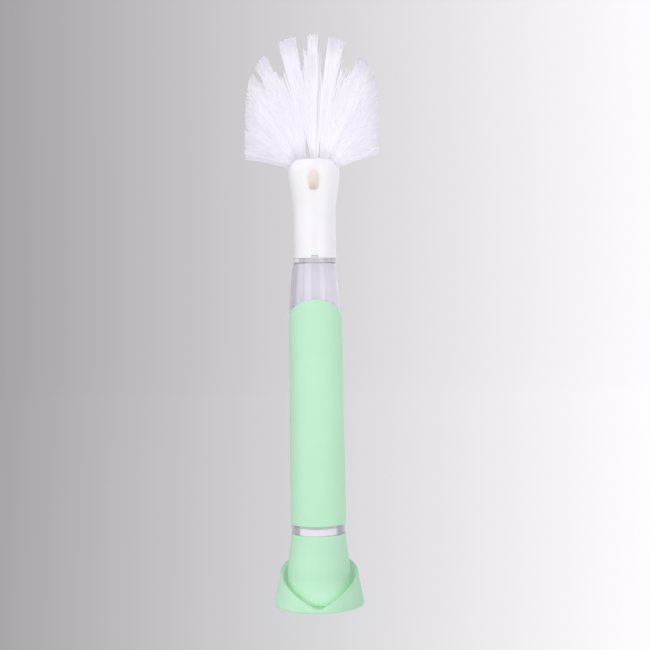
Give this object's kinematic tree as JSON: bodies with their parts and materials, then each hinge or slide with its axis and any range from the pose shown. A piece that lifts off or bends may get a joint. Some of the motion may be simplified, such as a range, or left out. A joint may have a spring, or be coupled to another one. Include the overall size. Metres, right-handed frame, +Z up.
{
  "type": "dish wand",
  "caption": "Refillable soap-dispensing dish wand: clear tube in a sleeve, flared end cap with a thumb button, domed bristle head, and a cup-shaped stand.",
  "frame": {"origin": "middle of the stand's underside, on the wand's axis, on the worktop", "axes": "+Z up along the wand, -Y to the front, where the soap outlet, the key lug and the low side of the stand's rim are, +X to the right seen from the front"},
  "size_m": [0.0648, 0.0646, 0.274],
  "materials": {
    "mint_plastic": "satin moulded plastic, pale mint",
    "mint_silicone": "matte soft-touch silicone, pale mint",
    "clear_plastic": "clear gloss",
    "white_plastic": "satin white",
    "bristles": "clear nylon filament on a white crown",
    "grey_rubber": "matte rubber",
    "valve_silicone": "translucent silicone",
    "steel": "drawn stainless wire"
  },
  "bodies": {
    "stand": {"stand_cup": "mint_plastic", "stand_pad": "grey_rubber"},
    "cap": {"end_cap": "mint_plastic", "pump_barrel": "white_plastic", "button_ring": "white_plastic", "return_spring": "steel"},
    "button": {"push_button": "mint_plastic", "piston_seal": "grey_rubber"},
    "handle": {"reservoir_tube": "clear_plastic", "cap_seal": "valve_silicone", "head_seal": "valve_silicone", "grip_sleeve": "mint_silicone"},
    "head": {"head_shell": "white_plastic", "soap_valve": "valve_silicone", "valve_ring": "white_plastic", "bristle_crown": "bristles", "tuft_anchors": "steel"}
  },
  "joints": [
    {"name": "wand_lift", "type": "slide", "parent": "stand", "child": "cap", "axis": [0, 0, 1], "range_m": [0, 0.03]},
    {"name": "button_press", "type": "slide", "parent": "cap", "child": "button", "axis": [0, 0, 1], "range_m": [0, 0.005], "stiffness_N_per_m": 600, "springref_m": -0.003, "deforming": ["return_spring"]},
    {"name": "cap_pull", "type": "slide", "parent": "cap", "child": "handle", "axis": [0, 0, 1], "range_m": [0, 0.02]},
    {"name": "head_pull", "type": "slide", "parent": "handle", "child": "head", "axis": [0, 0, 1], "range_m": [0, 0.02]}
  ]
}
